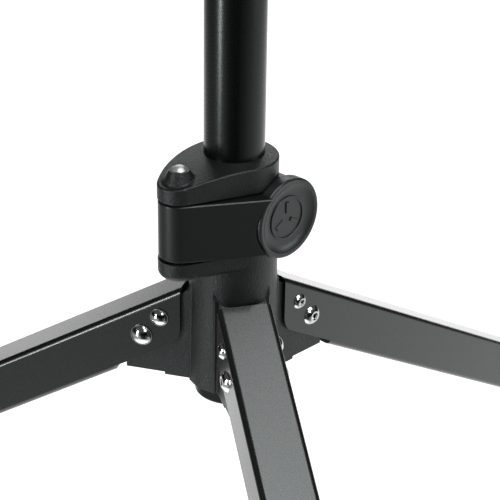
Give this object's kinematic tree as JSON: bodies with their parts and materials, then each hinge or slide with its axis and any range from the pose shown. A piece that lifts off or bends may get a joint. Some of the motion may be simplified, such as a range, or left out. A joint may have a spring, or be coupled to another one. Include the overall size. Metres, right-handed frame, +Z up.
{
  "type": "speaker tripod stand",
  "caption": "Folding tripod stand with a cast hub that clamps a telescoping round pole, for holding a loudspeaker on its top spigot.",
  "frame": {"origin": "on the pole axis, in the plane of the three feet's soles", "axes": "+Z up along the pole; -Y is the side that shows the clamp jaw's flat front; +X is to its right, the knob's side"},
  "size_m": [0.914, 0.9073, 1.1816],
  "materials": {
    "cast_black": "fine cast grain under black powder coat",
    "jaw_black": "smooth satin black coat",
    "tube_black": "satin black powder coat",
    "leg_black": "satin black powder coat",
    "knob_black": "satin moulded plastic",
    "gloss_black": "polished black plastic",
    "bright_steel": "bright plated steel",
    "bush_plastic": "plain moulded plastic",
    "insert_brass": "turned brass",
    "foot_rubber": "matt moulded rubber"
  },
  "bodies": {
    "hub": {"hub_casting": "cast_black", "hinge_pin": "bright_steel", "hinge_pin_ring": "bright_steel", "pivot_bush_front": "bush_plastic", "pivot_bush_right": "bush_plastic", "pivot_bush_left": "bush_plastic"},
    "clamp_jaw": {"clamp_jaw": "jaw_black", "clamp_thread_insert": "insert_brass"},
    "clamp_shoe": {"clamp_shoe": "bush_plastic"},
    "clamp_knob": {"clamp_screw": "bright_steel", "clamp_knob": "knob_black", "clamp_knob_badge": "knob_black"},
    "pole": {"outer_tube": "tube_black", "pole_end_cap": "gloss_black", "height_collar": "cast_black", "collar_bush": "bush_plastic", "collar_rivets": "bright_steel", "height_thread_insert": "insert_brass"},
    "height_shoe": {"height_shoe": "bush_plastic"},
    "height_knob": {"height_screw": "bright_steel", "height_knob": "knob_black", "height_knob_badge": "knob_black"},
    "inner_pole": {"inner_tube": "tube_black", "inner_tube_guide": "bush_plastic", "spigot_plug": "gloss_black"},
    "leg_front": {"leg_tube_front": "leg_black", "pivot_bolt_front": "bright_steel", "pivot_nut_front": "bright_steel", "stop_bolt_front": "bright_steel", "stop_nut_front": "bright_steel", "rubber_foot_front": "foot_rubber"},
    "leg_right": {"leg_tube_right": "leg_black", "pivot_bolt_right": "bright_steel", "pivot_nut_right": "bright_steel", "stop_bolt_right": "bright_steel", "stop_nut_right": "bright_steel", "rubber_foot_right": "foot_rubber"},
    "leg_left": {"leg_tube_left": "leg_black", "pivot_bolt_left": "bright_steel", "pivot_nut_left": "bright_steel", "stop_bolt_left": "bright_steel", "stop_nut_left": "bright_steel", "rubber_foot_left": "foot_rubber"}
  },
  "joints": [
    {"name": "jaw_swing", "type": "hinge", "parent": "hub", "child": "clamp_jaw", "pos_m": [-0.0329, -0.0297, 0.37863], "axis": [0, 0, -1], "range_deg": [0, 1.2]},
    {"name": "clamp_shoe_slide", "type": "slide", "parent": "clamp_jaw", "child": "clamp_shoe", "axis": [0.7071, -0.7071, 0], "range_m": [0, 0.00125]},
    {"name": "clamp_knob_turn", "type": "hinge", "parent": "clamp_shoe", "child": "clamp_knob", "pos_m": [0.0099, 0.0099, 0.37753], "axis": [0.7071, -0.7071, 0], "range_deg": [0, 360]},
    {"name": "pole_slide", "type": "slide", "parent": "hub", "child": "pole", "axis": [0, 0, 1], "range_m": [-0.17, 0]},
    {"name": "height_shoe_slide", "type": "slide", "parent": "pole", "child": "height_shoe", "axis": [0.7071, -0.7071, 0], "range_m": [0, 0.00125]},
    {"name": "height_knob_turn", "type": "hinge", "parent": "height_shoe", "child": "height_knob", "pos_m": [0, 0, 1.02763], "axis": [0.7071, -0.7071, 0], "range_deg": [0, 360]},
    {"name": "inner_pole_slide", "type": "slide", "parent": "pole", "child": "inner_pole", "axis": [0, 0, 1], "range_m": [0, 0.5]},
    {"name": "leg_front_fold", "type": "hinge", "parent": "hub", "child": "leg_front", "pos_m": [0.01381, -0.05458, 0.28643], "axis": [0.9694, 0.2453, 0], "range_deg": [0, 59.3]},
    {"name": "leg_right_fold", "type": "hinge", "parent": "hub", "child": "leg_right", "pos_m": [0.04036, 0.03925, 0.28643], "axis": [-0.6972, 0.7169, 0], "range_deg": [0, 59.3]},
    {"name": "leg_left_fold", "type": "hinge", "parent": "hub", "child": "leg_left", "pos_m": [-0.05417, 0.01533, 0.28643], "axis": [-0.2723, -0.9622, 0], "range_deg": [0, 59.3]}
  ],
  "couplings": [
    {"joint": "clamp_shoe_slide", "follows": "clamp_knob_turn", "m_per_rad": 0.00019894},
    {"joint": "height_shoe_slide", "follows": "height_knob_turn", "m_per_rad": 0.00019894}
  ]
}
